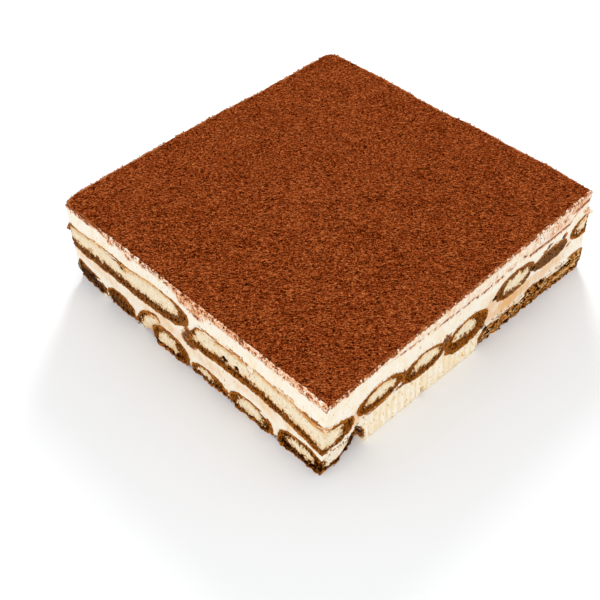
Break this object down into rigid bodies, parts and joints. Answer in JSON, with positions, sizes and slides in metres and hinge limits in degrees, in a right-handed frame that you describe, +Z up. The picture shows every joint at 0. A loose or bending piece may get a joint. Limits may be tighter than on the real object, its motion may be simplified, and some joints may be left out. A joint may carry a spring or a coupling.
{
  "type": "tiramisu",
  "caption": "Square cut block of tiramisu: cream and two layers of soaked ladyfingers that show on all four cut sides, under a flat dusting of cocoa.",
  "frame": {"origin": "middle of the block's underside, on the surface that it rests on", "axes": "+Z up through the layers; +X and +Y along the two sides, +Y the longer; the two sides seen in the picture face -Y and +X"},
  "size_m": [0.198, 0.2058, 0.054],
  "materials": {
    "cocoa": "matte powder",
    "cream": "soft satin",
    "ladyfinger": "moist crumb"
  },
  "bodies": {
    "root": {"cocoa_dusting": "cocoa", "cream_top": "cream", "cream_middle": "cream", "upper_finger_1_left": "ladyfinger", "upper_finger_1_right": "ladyfinger", "upper_finger_2_left": "ladyfinger", "upper_finger_2_right": "ladyfinger", "upper_finger_3_left": "ladyfinger", "upper_finger_3_right": "ladyfinger", "upper_finger_4_left": "ladyfinger", "upper_finger_4_right": "ladyfinger", "upper_finger_5_left": "ladyfinger", "upper_finger_5_right": "ladyfinger", "upper_finger_6_left": "ladyfinger", "upper_finger_6_right": "ladyfinger", "upper_finger_7_left": "ladyfinger", "upper_finger_7_right": "ladyfinger", "lower_finger_1_front": "ladyfinger", "lower_finger_1_back": "ladyfinger", "lower_finger_2_front": "ladyfinger", "lower_finger_2_back": "ladyfinger", "lower_finger_3_front": "ladyfinger", "lower_finger_3_back": "ladyfinger", "lower_finger_4_front": "ladyfinger", "lower_finger_4_back": "ladyfinger", "lower_finger_5_front": "ladyfinger", "lower_finger_5_back": "ladyfinger", "lower_finger_6_front": "ladyfinger", "lower_finger_6_back": "ladyfinger", "lower_finger_7_front": "ladyfinger", "lower_finger_7_back": "ladyfinger"}
  },
  "joints": []
}
